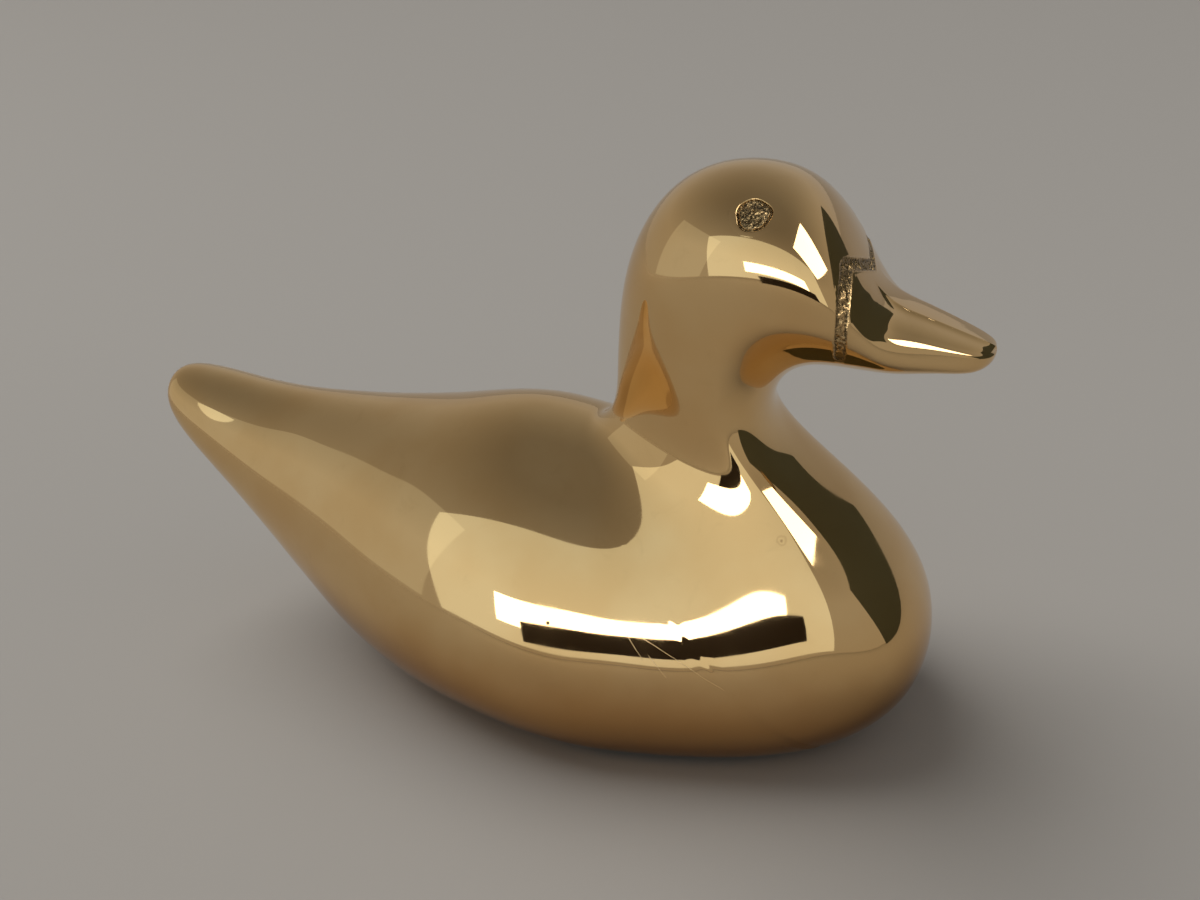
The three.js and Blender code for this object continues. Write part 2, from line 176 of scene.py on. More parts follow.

# Brass: its tints, the tarnish in patches, and a browner colour towards the base that is partly
# tarnish and partly painted shade for the shaded floor mirrored low on the body
BRASS_DEEP = (0.76, 0.5, 0.225, 1)
BRASS_PALE = (0.8, 0.55, 0.265, 1)
TINT_SIZE = 16
TARNISH_COLOUR = (0.5, 0.33, 0.14, 1)
TARNISH_SIZE = 5
TARNISH_SHARE = 0.1
# Painted shade, partly tarnish: the colour that the lower body turns towards
TARNISH_SHADE_COLOUR = (0.38, 0.18, 0.054, 1)
TARNISH_SHADE_TOP = 24
TARNISH_SHADE_BOTTOM = 10
TARNISH_SHADE_SIZE = 14
TARNISH_SHADE_UNEVENNESS = 6
TARNISH_SHADE_SHARE = 0.75
HAZE_SIZE = 7
HAZE_ROUGHNESS = (0.03, 0.065)

# Marks of use: one stain, scratches from one place to another, pits and hairlines
STAIN_PLACE = ("breast", 0.88, 94)
STAIN_COLOUR = (0.3, 0.17, 0.07, 1)
STAIN_SHARE = 0.6
STAIN_RADIUS = 0.8
STAIN_RING_WIDTH = 0.25
STAIN_RING_SHARE = 0.35
STAIN_MIDDLE = (0.55, 0.25)
STAIN_UNEVENNESS = 0.4
STAIN_GRAIN = 0.5
SCRATCHES = (
    (("fore_body", 0.55, 66), ("low_breast", 0.07, 93)),
    (("fore_body", 0.55, 66), ("fore_body", 0.6, 77)),
    (("fore_body", 0.66, 74), ("fore_body", 0.7, 83)),
)
SCRATCH_HALF_WIDTH = 0.05
SCRATCH_BEND = 0.5
SCRATCH_BEND_LENGTH = 4
SCRATCH_FULL_SHARE = 0.6
LINE_ROUGHNESS = 0.35
PATINA_COLOUR = (0.09, 0.065, 0.033, 1)
PATINA_ROUGHNESS = 0.3
PATINA_DEPTH = 0.05
SPECK_SIZE = 0.24
SPECK_STRENGTHS = (0.6, 1.3)
PIT_COLOUR = (0.09, 0.06, 0.03, 1)
PIT_CELL = 6.5
PIT_RADIUS = 0.24
PIT_SHARE = 0.35
PIT_EDGE = 0.06
PIT_STRENGTH = 0.8
PIT_ROUGHNESS = 0.4
PIT_DEPTH = 0.05
HAIRLINES = (((0.3, 0.9, 0.5), 0.004), ((1.1, 0.2, 2.1), 0.003))
HAIRLINE_SIZE = 1.1
HAIRLINE_STRETCH = (0.04, 1, 1)
HAIRLINE_PATCH_SIZE = 9
HAIRLINE_SHARE = 0.15

# Felt
FELT_DARK = (0.012, 0.035, 0.02, 1)
FELT_PALE = (0.04, 0.085, 0.052, 1)
FELT_CLOUD = (0.02, 0.05, 0.03, 1)
FELT_CLOUD_SHARE = 0.4
FELT_FIBRE_SIZE = 0.35
FELT_CLOUD_SIZE = 6
FELT_NAP = 0.15
FELT_SHEEN = 0.3
FELT_EDGE_ROUND = 0.35
FELT_EDGE_STEPS = 4
FELT_CUT_UNEVENNESS = 0.12
FELT_CUT_STEPS = 6
FELT_SEED = 5

# Camera, as found from the photograph's outline
CAMERA_AZIMUTH = 22.08
CAMERA_PITCH = 24.35
CAMERA_ROLL = -3.31
CAMERA_PLACE = (61.7, -121.75, 97.89)
IMAGE_WIDTH = 1200
FOCAL_PIXELS = 920
SENSOR_WIDTH = 36


# Outer form

def smooth_through(places, values, bluntness):
    """Cubic through one value per section, with set slopes at the tail's and the bill's tip."""
    values = np.array(values, float)
    step = np.diff(places)
    rise = np.diff(values) / step
    count = len(places)
    rows = np.zeros((count, count))
    right = np.zeros(count)
    rows[0, :2] = 2 * step[0], step[0]
    right[0] = 6 * rise[0] * (1 - bluntness)
    for i in range(1, count - 1):
        rows[i, i - 1:i + 2] = step[i - 1], 2 * (step[i - 1] + step[i]), step[i]
        right[i] = 6 * (rise[i] - rise[i - 1])
    rows[-1, -2:] = step[-1], 2 * step[-1]
    right[-1] = 6 * rise[-1] * (bluntness - 1)
    bend = np.linalg.solve(rows, right)

    def at(place):
        i = np.clip(np.searchsorted(places, place, side="right") - 1, 0, count - 2)
        h = step[i]
        a = (places[i + 1] - place) / h
        b = (place - places[i]) / h
        curve = ((a ** 3 - a) * bend[i] + (b ** 3 - b) * bend[i + 1]) * h * h / 6
        return a * values[i] + b * values[i + 1] + curve

    return at


def section_places():
    """Places of the sections along the form, from the runs of the two lines and of the width."""
    places = [0.0]
    for before, after in zip(SECTIONS, SECTIONS[1:]):
        run = math.sqrt(math.dist(before[1], after[1]) * math.dist(before[2], after[2]))
        places.append(places[-1] + math.hypot(run, 2 * (after[3] - before[3]), LEAST_RUN))
    return np.array(places)


PLACES = section_places()

back_x = smooth_through(PLACES, [row[1][0] for row in SECTIONS], 0)
back_z = smooth_through(PLACES, [row[1][1] for row in SECTIONS], END_BLUNTNESS)
belly_x = smooth_through(PLACES, [row[2][0] for row in SECTIONS], 0)
belly_z = smooth_through(PLACES, [row[2][1] for row in SECTIONS], END_BLUNTNESS)
half_width = smooth_through(PLACES, [row[3] for row in SECTIONS], END_BLUNTNESS)
sag_ratio = smooth_through(PLACES, [row[4] for row in SECTIONS], 0)
power = smooth_through(PLACES, [row[5] for row in SECTIONS], 0)


def place_of(name, share=0.0):
    """Place along the form, a share of the way from one section to the next."""
    i = NAMES.index(name)
    return PLACES[i] if share == 0 else PLACES[i] + share * (PLACES[i + 1] - PLACES[i])


def outer_points(place, angle):
    """Points of the outer form: angle 0 is on the back line, a half turn on the belly line."""
    exponent = 2 / power(place)
    up = np.sign(np.cos(angle)) * np.abs(np.cos(angle)) ** exponent
    side = np.sign(np.sin(angle)) * np.abs(np.sin(angle)) ** exponent
    along = (up - sag_ratio(place) * side * side + 1) / 2
    x = belly_x(place) + (back_x(place) - belly_x(place)) * along
    z = belly_z(place) + (back_z(place) - belly_z(place)) * along
    return np.stack(np.broadcast_arrays(x, -half_width(place) * side, z), -1)


def outer_normals(place, angle):
    """Outward normals of the outer form."""
    ahead = outer_points(place + NORMAL_REACH, angle) - outer_points(place - NORMAL_REACH, angle)
    around = outer_points(place, angle + NORMAL_REACH) - outer_points(place, angle - NORMAL_REACH)
    normals = np.cross(around, ahead)
    return normals / np.maximum(np.linalg.norm(normals, axis=-1, keepdims=True), TINY)


def point_at(section, share, degrees, side=1):
    """One point of the outer form and its outward normal."""
    place = np.array(place_of(section, share))
    angle = side * math.radians(degrees)
    return outer_points(place, angle), outer_normals(place, angle)


def crossing(low, high, is_past):
    """Halves intervals until they close on the place where the test turns true."""
    low, high = np.broadcast_arrays(np.array(low, float), np.array(high, float))
    for _ in range(HALVINGS):
        middle = (low + high) / 2
        past = is_past(middle)
        low, high = np.where(past, low, middle), np.where(past, middle, high)
    return low


# Grid of the whole skin, from the tail's tip to the bill's tip

LOWEST = place_of("mid_body")
REAR_CONTACT = float(crossing(LOWEST, place_of("tail_root"), lambda p: belly_z(p) > RIM_Z))
FRONT_CONTACT = float(crossing(LOWEST, place_of("high_breast"), lambda p: belly_z(p) > RIM_Z))


def ring_places():
    """Places of the rings: even steps, with finer ones at the eyes and the chased band."""
    eye = place_of(*EYE_PLACE[:2])
    stops = (
        (0.0, REAR_CONTACT, BODY_RING_STEP),
        (REAR_CONTACT, FRONT_CONTACT, BODY_RING_STEP),
        (FRONT_CONTACT, place_of("neck"), BODY_RING_STEP),
        (place_of("neck"), eye - EYE_PATCH_RADIUS, HEAD_RING_STEP),
        (eye - EYE_PATCH_RADIUS, eye + EYE_PATCH_RADIUS, EYE_RING_STEP),
        (eye + EYE_PATCH_RADIUS, place_of(*BAND_FINE_END), FINE_RING_STEP),
        (place_of(*BAND_FINE_END), place_of("bill_tip"), HEAD_RING_STEP),
    )
    rows = []
    for start, end, step in stops:
        count = max(2, round((end - start) / step))
        rows.append(np.linspace(start, end, count, endpoint=False))
    return np.concatenate([*rows, [place_of("bill_tip")]])


def ring_angles(places):
    """Angles of every ring. A ring that meets the base stops at the rim's height."""
    reach = np.full(len(places), math.pi)
    cut = (places > REAR_CONTACT) & (places < FRONT_CONTACT)
    reach[cut] = crossing(
        np.full(cut.sum(), math.pi / 2),
        np.full(cut.sum(), math.pi),
        lambda angle: outer_points(places[cut], angle)[:, 2] < RIM_Z,
    )
    return reach[:, None] * np.linspace(-1, 1, SIDES + 1), cut


def tilted_normals(points, normals, height):
    """Normals of the skin after every point has moved along its normal by the height."""
    ahead, around = np.gradient(points, axis=(0, 1))
    rise_ahead, rise_around = np.gradient(height)
    ahead_square = (ahead * ahead).sum(-1)
    mixed = (ahead * around).sum(-1)
    around_square = (around * around).sum(-1)
    area_square = np.maximum(ahead_square * around_square - mixed * mixed, TINY)
    part_ahead = (around_square * rise_ahead - mixed * rise_around) / area_square
    part_around = (ahead_square * rise_around - mixed * rise_ahead) / area_square
    tilted = normals - part_ahead[..., None] * ahead - part_around[..., None] * around
    return tilted / np.linalg.norm(tilted, axis=-1, keepdims=True)


def smooth_step(value, start, end):
    """0 up to start, 1 from end on, and a smooth rise between them."""
    share = np.clip((value - start) / (end - start), 0, 1)
    return share * share * (3 - 2 * share)


def polishing_waves(points):
    """Sum of slow waves in seeded directions."""
    rng = np.random.default_rng(WAVE_SEED)
    height = np.zeros(points.shape[:-1])
    for _ in range(WAVES):
        direction = rng.normal(size=3)
        direction /= np.linalg.norm(direction)
        length = WAVE_LENGTH * rng.uniform(*WAVE_LENGTH_SHARES)
        phase = rng.uniform(0, 2 * math.pi)
        height += np.sin(points @ direction * 2 * math.pi / length + phase)
    return height * WAVE_HEIGHT / math.sqrt(WAVES)


def band_legs():
    """The chased band's legs: start, lengthways, crosswise and outward direction, and length."""
    legs = []
    for side in (1, -1):
        corners = [point_at(*place, side)[0] for place in BAND_PATH]
        facing = np.array(BAND_FACING) * (1, side, 1)
        for start, end in zip(corners, corners[1:]):
            length = math.dist(start, end)
            run = (end - start) / length
            across = np.cross(run, facing)
            across /= np.linalg.norm(across)
            legs.append((start, run, across, np.cross(across, run), length))
    return legs


def punched_band(points):
    """Height and patina of the chased band: straight grooves between lips, full of punch marks."""
    rng = np.random.default_rng(BAND_SEED)
    nearest = np.full(len(points), np.inf)
    depth = np.zeros(len(points))
    patina = np.full(len(points), BAND_PATINA)
    for start, run, across, out, length in band_legs():
        local = points - start
        along, offset = local @ run, local @ across
        beyond = np.maximum(np.maximum(-along, along - length), 0)
        distance = np.where(local @ out > -BAND_REACH, np.hypot(offset, beyond), np.inf)
        nearest = np.minimum(nearest, distance)
        near = np.flatnonzero(distance < BAND_HALF_WIDTH)
        for _ in range(round(length * PUNCHES_PER_MM)):
            gap = np.hypot(
                along[near] - rng.uniform(0, length),
                offset[near] - rng.uniform(-PUNCH_SPREAD, PUNCH_SPREAD) * BAND_HALF_WIDTH,
            )
            mark = np.exp(-(gap / PUNCH_RADIUS / rng.uniform(*PUNCH_SIZES)) ** 2)
            depth[near] += mark * PUNCH_DEPTH * rng.uniform(*PUNCH_FORCES)
            patina[near] = np.maximum(patina[near], mark * rng.uniform(*PUNCH_PATINA))
    inside = 1 - smooth_step(nearest, BAND_HALF_WIDTH - BAND_WALL, BAND_HALF_WIDTH)
    lip = np.exp(-((nearest - BAND_HALF_WIDTH - BAND_LIP_OFFSET) / BAND_LIP_WIDTH) ** 2)
    edge = np.exp(-((nearest - BAND_HALF_WIDTH + BAND_EDGE) / BAND_EDGE) ** 2)
    height = lip * BAND_LIP - inside * (BAND_DEPTH + depth)
    return height, np.maximum(patina * inside, BAND_EDGE_PATINA * edge)


def crease_drop(places, angles, points):
    """How far the bill's top lies lower outside the two creases beside its ridge."""
    stops = [place_of(name, share) for name, share, _ in CREASE_PATH]
    turns = np.radians(np.interp(places, stops, [degrees for *_, degrees in CREASE_PATH]))
    edge = -outer_points(places, turns)[:, 1]
    gap = np.maximum(np.abs(points[..., 1]) - edge[:, None], 0)
    start = smooth_step(places, place_of(*CREASE_START), place_of(*CREASE_FULL))
    top = 1 - smooth_step(np.abs(angles), *np.radians(CREASE_SIDES))
    return CREASE_DROP * (1 - np.exp(-gap / CREASE_REACH)) * start[:, None] * top


def eye_dish(points):
    """Hollow under each eye's own piece, so that the skin stays clear of it."""
    height = np.zeros(points.shape[:-1])
    for side in (1, -1):
        centre, _ = point_at(*EYE_PLACE, side)
        gap = np.linalg.norm(points - centre, axis=-1)
        outside = smooth_step(gap, EYE_SEAT_RADIUS - EYE_SEAT_WALL, EYE_SEAT_RADIUS)
        height -= EYE_DISH * (1 - outside)
    return height


def make_grid():
    """Points, normals and patina of the whole skin, and which rings meet the base."""
    places = ring_places()
    angles, cut = ring_angles(places)
    points = outer_points(places[:, None], angles)
    normals = outer_normals(places[:, None], angles)
    normals[0] = (-1, 0, 0)
    normals[-1] = (1, 0, 0)
    height = polishing_waves(points) - crease_drop(places, angles, points)
    patina = np.zeros(height.shape)
    head = places > place_of("neck")
    height[head] += eye_dish(points[head])
    band = (places > place_of(*BAND_START)) & (places < place_of(*BAND_END))
    band_height, band_patina = punched_band(points[band].reshape(-1, 3))
    height[band] += band_height.reshape(height[band].shape)
    patina[band] = band_patina.reshape(height[band].shape)
    raised = points + normals * height[..., None]
    raised[cut, 0, 2] = RIM_Z
    raised[cut, -1, 2] = RIM_Z
    return raised, tilted_normals(points, normals, height), patina, cut, places


GRID, GRID_NORMALS, GRID_PATINA, GRID_CUT, RING_PLACES = make_grid()
SEAM_RING = int(np.argmin(np.abs(RING_PLACES - place_of("neck"))))
SHIFT = Vector((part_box("head_shell")[1].x - GRID[..., 0].max() * MM, 0, 0))


# Meshes

def new_piece(name, mesh, node, material):
    """Puts a mesh into the scene as a piece that stands for a CAD node."""
    piece = bpy.data.objects.new(name, mesh)
    bpy.context.scene.collection.objects.link(piece)
    mesh.materials.append(material)
    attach(piece, "root")
    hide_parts(node)
    return piece


def skin_mesh(name, first, last):
    """Closed skin over the rings from first to last. Ring 0 and the last ring are points."""
    rows = range(first, last + 1)
    number = {}
    points, normals, patina = [], [], []

    def vertex(i, j):
        is_point = i == 0 or i == len(GRID) - 1
        key = (i, 0 if is_point or (j == SIDES and not GRID_CUT[i]) else j)
        if key not in number:
            number[key] = len(points)
            points.append(GRID[key] * MM)
            normals.append(GRID_NORMALS[key])
            patina.append(GRID_PATINA[key])
        return number[key]

    faces = []
    for i in rows[:-1]:
        for j in range(SIDES):
            corners = (vertex(i, j), vertex(i, j + 1), vertex(i + 1, j + 1), vertex(i + 1, j))
            faces.append(tuple(dict.fromkeys(corners)))
    smooth_count = len(faces)
    if first > 0:
        faces.append([vertex(first, j) for j in reversed(range(SIDES))])
    if last < len(GRID) - 1:
        faces.append([vertex(last, j) for j in range(SIDES)])
    met = [i for i in rows if GRID_CUT[i]]
    if met:
        right = [vertex(i, SIDES) for i in met]
        left = [vertex(i, 0) for i in reversed(met)]
        base = [vertex(met[0] - 1, 0), *right, vertex(met[-1] + 1, 0), *left]
        faces.append(base[::-1])
    mesh = bpy.data.meshes.new(name)
    mesh.from_pydata(points, [], faces)
    if met:
        sink_base(mesh, len(faces) - 1)
    finish_skin(mesh, np.array(normals), np.array(patina), smooth_count)
    mesh.transform(Matrix.Translation(SHIFT))
    return mesh


def sink_base(mesh, base_face):
    """Leaves a rim round the base and sinks the rest to the plate's top."""
    bm = bmesh.new()
    bm.from_mesh(mesh)
    bm.faces.ensure_lookup_table()
    base = bm.faces[base_face]
    bmesh.ops.inset_individual(bm, faces=[base], thickness=RIM_WIDTH * MM, use_even_offset=True)
    sunk = bmesh.ops.extrude_discrete_faces(bm, faces=[base])["faces"]
    bmesh.ops.translate(bm, verts=sunk[0].verts, vec=(0, 0, PLATE_THICKNESS * MM))
    bm.to_mesh(mesh)
    bm.free()


def finish_skin(mesh, normals, patina, smooth_count):
    """Smooth skin with the form's own normals, and flat faces at the base and the neck's joint."""
    values = np.zeros(len(mesh.vertices), np.float32)
    values[:len(patina)] = patina
    mesh.attributes.new("patina", "FLOAT", "POINT").data.foreach_set("value", values)
    mesh.polygons.foreach_set("use_smooth", np.ones(len(mesh.polygons), bool))
    mesh.update()
    split = np.zeros((len(mesh.loops), 3), np.float32)
    loop_vertex = np.zeros(len(mesh.loops), int)
    mesh.loops.foreach_get("vertex_index", loop_vertex)
    own = loop_vertex < len(normals)
    split[own] = normals[loop_vertex[own]]
    for face in mesh.polygons:
        if face.index >= smooth_count:
            split[list(face.loop_indices)] = face.normal
    mesh.normals_split_custom_set(split.tolist())


def eye_axes(side):
    """Middle of an eye's seat, and its level, upward and outward directions."""
    centre, out = point_at(*EYE_PLACE, side)
    level = np.cross((0, 0, 1), out)
    level /= np.linalg.norm(level)
    return centre, level, np.cross(out, level), out


def powers(across, upward):
    """Products of powers of two coordinates, up to the order of the fit."""
    order = EYE_FIT_ORDER + 1
    products = [across ** i * upward ** j for i in range(order) for j in range(order - i)]
    return np.stack(products, -1)


def head_at_eye(side, across, upward):
    """Height of the polished head above the plane of an eye's seat."""
    centre, level, up, out = eye_axes(side)
    spread = np.linspace(-EYE_SPREAD, EYE_SPREAD, EYE_SAMPLES)
    places = place_of(*EYE_PLACE[:2]) + spread[:, None]
    turn = spread / math.dist(centre, (centre[0], 0, centre[2]))
    angles = side * math.radians(EYE_PLACE[2]) + turn
    points = outer_points(places, angles)
    points = points + outer_normals(places, angles) * polishing_waves(points)[..., None]
    local = points.reshape(-1, 3) - centre
    form = np.linalg.lstsq(powers(local @ level, local @ up), local @ out, rcond=None)[0]
    return powers(across, upward) @ form


def eye_relief(side, across, upward):
    """Height and patina of a stippled stud in its groove, the patina thinned at one painted
    highlight.
    """
    rng = np.random.default_rng(EYE_SEED)
    reach = np.hypot(across, upward)
    angle = np.arctan2(upward, across)
    edge = EYE_RADIUS
    for size, waves, phase in EYE_EDGE_WAVES:
        edge = edge + size * np.sin(waves * angle + phase)
    edge *= 1 + (EYE_HEIGHT_RATIO - 1) * np.sin(angle) ** 2
    on_stud = 1 - smooth_step(reach, edge - EYE_STUD_EDGE, edge)
    groove = np.exp(-((reach - edge) / EYE_GROOVE_WIDTH) ** 2)
    height = on_stud * EYE_DOME * (1 - (reach / EYE_RADIUS) ** 2) - groove * EYE_GROOVE
    patina = np.maximum(groove, on_stud * EYE_PATINA)
    for _ in range(EYE_PUNCHES):
        far = EYE_RADIUS * math.sqrt(rng.uniform(0, EYE_PUNCHED_AREA))
        way = rng.uniform(0, 2 * math.pi)
        gap = np.hypot(across - far * math.cos(way), upward - far * math.sin(way))
        mark = np.exp(-(gap / rng.uniform(*EYE_PUNCH_RADII)) ** 2)
        height -= mark * rng.uniform(*EYE_PUNCH_DEPTHS)
        patina = np.maximum(patina, mark * rng.uniform(*EYE_PUNCH_PATINA))
    # Painted highlight: the patina is thinned in one spot on each stud so that the bare polish
    # shows there as a bright glint
    glint_x, glint_y = EYE_GLINT_PLACE
    glint_gap = np.hypot(side * across - glint_x, upward - glint_y) / EYE_GLINT_RADIUS
    patina *= 1 - EYE_GLINT_SHARE * np.exp(-glint_gap ** 2)
    return height, patina


def eye_mesh(name, side):
    """Closed stud in its seat, with a rim that follows the head and sinks into it."""
    centre, level, up, out = eye_axes(side)
    radius = np.linspace(0, EYE_PATCH_RADIUS, EYE_RINGS + 1)[1:, None]
    turn = (np.arange(EYE_SIDES) * 2 * math.pi / EYE_SIDES)[None]
    across = np.append(0, (radius * np.cos(turn)).ravel())
    upward = np.append(0, (radius * np.sin(turn)).ravel())
    height, patina = eye_relief(side, across, upward)
    sunk = smooth_step(np.hypot(across, upward), EYE_SEAT_RADIUS, EYE_PATCH_RADIUS)
    height += head_at_eye(side, across, upward) + EYE_PROUD * (1 - 2 * sunk)
    points = centre + across[:, None] * level + upward[:, None] * up + height[:, None] * out
    back = points[-EYE_SIDES:] - EYE_THICKNESS * out
    points = np.concatenate([points, back, [back.mean(0)]])
    patina = np.append(patina, np.zeros(EYE_SIDES + 1))

    def at(i, j):
        return 1 + i * EYE_SIDES + j % EYE_SIDES

    faces = [(0, at(0, j), at(0, j + 1)) for j in range(EYE_SIDES)]
    for i in range(EYE_RINGS):
        for j in range(EYE_SIDES):
            faces.append((at(i, j), at(i + 1, j), at(i + 1, j + 1), at(i, j + 1)))
    middle = len(points) - 1
    faces += [(middle, at(EYE_RINGS, j + 1), at(EYE_RINGS, j)) for j in range(EYE_SIDES)]
    mesh = bpy.data.meshes.new(name)
    mesh.from_pydata((points * MM).tolist(), [], faces)
    values = patina.astype(np.float32)
    mesh.attributes.new("patina", "FLOAT", "POINT").data.foreach_set("value", values)
    smooth = np.arange(len(faces)) < EYE_SIDES * EYE_RINGS
    mesh.polygons.foreach_set("use_smooth", smooth)
    mesh.update()
    mesh.transform(Matrix.Translation(SHIFT))
    return mesh


# Materials

class Nodes:
    """Short way to add nodes to a material's tree and link them."""

    def __init__(self, name):
        self.material = bpy.data.materials.new(name)
        self.material.use_nodes = True
        self.tree = self.material.node_tree
        self.shader = self.tree.nodes["Principled BSDF"]

    def add(self, kind, inputs=None, **settings):
        node = self.tree.nodes.new("ShaderNode" + kind)
        for key, value in settings.items():
            setattr(node, key, value)
        for key, value in (inputs or {}).items():
            self.put(node.inputs[key], value)
        return node

    def put(self, socket, value):
        if isinstance(value, bpy.types.NodeSocket):
            self.tree.links.new(value, socket)
        else:
            socket.default_value = value

    def set(self, **inputs):
        for key, value in inputs.items():
            self.put(self.shader.inputs[key.replace("_", " ")], value)

    def math(self, operation, a, b=0.0):
        return self.add("Math", {0: a, 1: b}, operation=operation).outputs[0]

    def ramp(self, value, low, high, start=0.0, end=1.0):
        """Value from low to high, mapped smoothly to start and end."""
        inputs = {"Value": value, "From Min": low, "From Max": high, "To Min": start, "To Max": end}
        return self.add("MapRange", inputs, interpolation_type="SMOOTHSTEP").outputs["Result"]

    def blend(self, factor, a, b):
        node = self.add("Mix", data_type="RGBA")
        self.put(node.inputs["Factor"], factor)
        self.put(node.inputs[6], a)
        self.put(node.inputs[7], b)
        return node.outputs[2]

    def millimetres(self, rotation=(0, 0, 0), scale=(1, 1, 1)):
        """Place on the object in millimetres, turned and stretched."""
        coordinates = self.add("TexCoord").outputs["Object"]
        size = tuple(1 / MM * s for s in scale)
        inputs = {"Vector": coordinates, "Rotation": rotation, "Scale": size}
        return self.add("Mapping", inputs).outputs[0]

    def noise(self, size, vector=None, detail=2.0, roughness=0.5, distortion=0.0):
        inputs = {
            "Vector": self.millimetres() if vector is None else vector,
            "Scale": 1 / size,
            "Detail": detail,
            "Roughness": roughness,
            "Distortion": distortion,
        }
        return self.add("TexNoise", inputs).outputs["Fac"]

    def bump(self, height, depth, normal=None):
        inputs = {"Height": height, "Distance": depth * MM, "Strength": 1.0}
        if normal is not None:
            inputs["Normal"] = normal
        return self.add("Bump", inputs).outputs["Normal"]


def hairlines(nodes, turn, width):
    """Thin, long, slightly bent lines: level lines of a stretched noise, kept in patches."""
    vector = nodes.millimetres(rotation=turn, scale=HAIRLINE_STRETCH)
    level = nodes.noise(HAIRLINE_SIZE, vector, detail=1)
    off = nodes.math("ABSOLUTE", nodes.math("SUBTRACT", level, 0.5))
    line = nodes.ramp(off, width, 0.0)
    patch = nodes.ramp(nodes.noise(HAIRLINE_PATCH_SIZE, detail=1), 0.5, 0.68)
    return nodes.math("MULTIPLY", line, patch)


def spots(nodes, cell, radius, share):
    """Small round spots, in a share of the cells."""
    found = nodes.add("TexVoronoi", {"Vector": nodes.millimetres(), "Scale": 1 / cell})
    distance = nodes.math("MULTIPLY", found.outputs["Distance"], cell)
    colour = nodes.add("SeparateColor", {"Color": found.outputs["Color"]})
    edge = nodes.math("MULTIPLY", colour.outputs["Green"], radius)
    spot = nodes.ramp(nodes.math("SUBTRACT", distance, edge), PIT_EDGE, -PIT_EDGE)
    return nodes.math("MULTIPLY", spot, nodes.math("LESS_THAN", colour.outputs["Red"], share))


def mark_place(place):
    """Place of a mark on the finished skin, in millimetres, and its outward normal."""
    point, out = point_at(*place)
    return Vector(point) + SHIFT / MM, Vector(out)


def stain(nodes):
    """Pale ring round a darker middle."""
    centre, _ = mark_place(STAIN_PLACE)
    far = nodes.add("VectorMath", {0: nodes.millimetres(), 1: centre}, operation="DISTANCE")
    uneven = nodes.math("MULTIPLY", nodes.noise(STAIN_GRAIN), STAIN_UNEVENNESS)
    far = nodes.math("ADD", far.outputs["Value"], uneven)
    off = nodes.math("ABSOLUTE", nodes.math("SUBTRACT", far, STAIN_RADIUS))
    ring = nodes.math("MULTIPLY", nodes.ramp(off, STAIN_RING_WIDTH, 0.0), STAIN_RING_SHARE)
    return nodes.math("MAXIMUM", ring, nodes.ramp(far, *STAIN_MIDDLE))


def scratch(nodes, start, end):
    """Thin line from one place to another, fading out at both ends."""
    first, out = mark_place(start)
    last, _ = mark_place(end)
    across = (last - first).cross(out).normalized()
    offset = nodes.add("VectorMath", {0: nodes.millimetres(), 1: across}, operation="DOT_PRODUCT")
    bend = nodes.math("MULTIPLY", nodes.noise(SCRATCH_BEND_LENGTH), SCRATCH_BEND)
    bent = nodes.math("ADD", offset.outputs["Value"], bend)
    level = first.dot(across) + SCRATCH_BEND / 2
    off = nodes.math("ABSOLUTE", nodes.math("SUBTRACT", bent, level))
    middle = (first + last) / 2
    far = nodes.add("VectorMath", {0: nodes.millimetres(), 1: middle}, operation="DISTANCE")
    reach = (last - first).length / 2
    inside = nodes.ramp(far.outputs["Value"], reach, SCRATCH_FULL_SHARE * reach)
    return nodes.math("MULTIPLY", nodes.ramp(off, SCRATCH_HALF_WIDTH, 0.0), inside)


def brass_colour(nodes):
    """Uneven brass with a little tarnish, browner towards the base with tarnish and painted shade.
    """
    tint = nodes.ramp(nodes.noise(TINT_SIZE, detail=3), 0.35, 0.65)
    colour = nodes.blend(tint, BRASS_DEEP, BRASS_PALE)
    patches = nodes.noise(TARNISH_SIZE, detail=6, roughness=0.65, distortion=0.8)
    tarnish = nodes.math("MULTIPLY", nodes.ramp(patches, 0.56, 0.72), TARNISH_SHARE)
    colour = nodes.blend(tarnish, colour, TARNISH_COLOUR)
    # Painted shade and some tarnish: the colour turns browner low on the body, darkening the shaded
    # floor it mirrors
    level = nodes.add("SeparateXYZ", {"Vector": nodes.millimetres()}).outputs["Z"]
    lift = nodes.math("MULTIPLY", nodes.noise(TARNISH_SHADE_SIZE, detail=3), TARNISH_SHADE_UNEVENNESS)
    top = TARNISH_SHADE_TOP + TARNISH_SHADE_UNEVENNESS / 2
    bottom = TARNISH_SHADE_BOTTOM + TARNISH_SHADE_UNEVENNESS / 2
    tarnish_shade = nodes.ramp(nodes.math("ADD", level, lift), top, bottom, 0.0, TARNISH_SHADE_SHARE)
    return nodes.blend(tarnish_shade, colour, TARNISH_SHADE_COLOUR)


